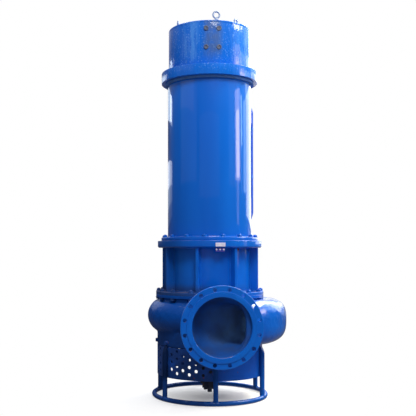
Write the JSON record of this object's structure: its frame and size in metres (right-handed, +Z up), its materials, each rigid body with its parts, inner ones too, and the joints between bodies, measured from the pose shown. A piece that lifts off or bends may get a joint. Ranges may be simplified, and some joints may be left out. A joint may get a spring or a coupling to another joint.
{
  "type": "submersible sand pump",
  "caption": "Vertical submersible slurry pump: ringed motor, ribbed oil chamber, scroll casing with flanged front discharge, strainer skirt on a pipe stand, and a turning impeller.",
  "frame": {"origin": "on the floor, under the middle of the whole pump's outline", "axes": "+Z up along the pump axis; -Y is the way the discharge flange faces; +X is the side to which the scroll grows"},
  "size_m": [1.032, 1.1766, 2.8273],
  "materials": {
    "blue_enamel": "glossy enamel paint on rolled steel",
    "cast_blue_enamel": "glossy enamel paint on cast iron, slightly uneven",
    "dark_blue_enamel": "dull enamel with mud and rust spots",
    "cast_iron": "dark painted hard iron",
    "bare_steel": "dull forged and turned steel",
    "label_white": "plain satin plate"
  },
  "bodies": {
    "pump": {"base_ring": "blue_enamel", "leg_1": "blue_enamel", "leg_2": "blue_enamel", "leg_3": "blue_enamel", "leg_4": "blue_enamel", "leg_5": "blue_enamel", "leg_6": "blue_enamel", "oil_chamber": "blue_enamel", "rib_1": "blue_enamel", "rib_2": "blue_enamel", "rib_3": "blue_enamel", "rib_4": "blue_enamel", "rib_5": "blue_enamel", "rib_6": "blue_enamel", "rib_7": "blue_enamel", "rib_8": "blue_enamel", "motor_housing": "blue_enamel", "head_ring": "blue_enamel", "top_cap": "blue_enamel", "cap_plate": "blue_enamel", "side_conduit": "blue_enamel", "cap_plug_1": "blue_enamel", "cap_plug_2": "blue_enamel", "cap_plug_3": "blue_enamel", "cap_plug_4": "blue_enamel", "volute_casing": "cast_blue_enamel", "discharge_flange": "cast_blue_enamel", "suction_cover": "cast_blue_enamel", "casing_cover": "cast_blue_enamel", "frame_foot_flange": "cast_blue_enamel", "frame_head_flange": "cast_blue_enamel", "motor_flange": "cast_blue_enamel", "collar": "cast_blue_enamel", "strainer_skirt": "dark_blue_enamel", "lifting_eye_1": "bare_steel", "lifting_eye_2": "bare_steel", "lifting_eye_3": "bare_steel", "lifting_eye_4": "bare_steel", "cable_gland": "bare_steel", "label_plate": "label_white"},
    "rotor": {"shaft": "bare_steel", "impeller": "cast_iron", "agitator": "cast_iron"}
  },
  "joints": [
    {"name": "rotor_spin", "type": "hinge", "parent": "pump", "child": "rotor", "pos_m": [-0.05095, 0.07172, 0.6], "axis": [0, 0, 1], "continuous": true}
  ]
}
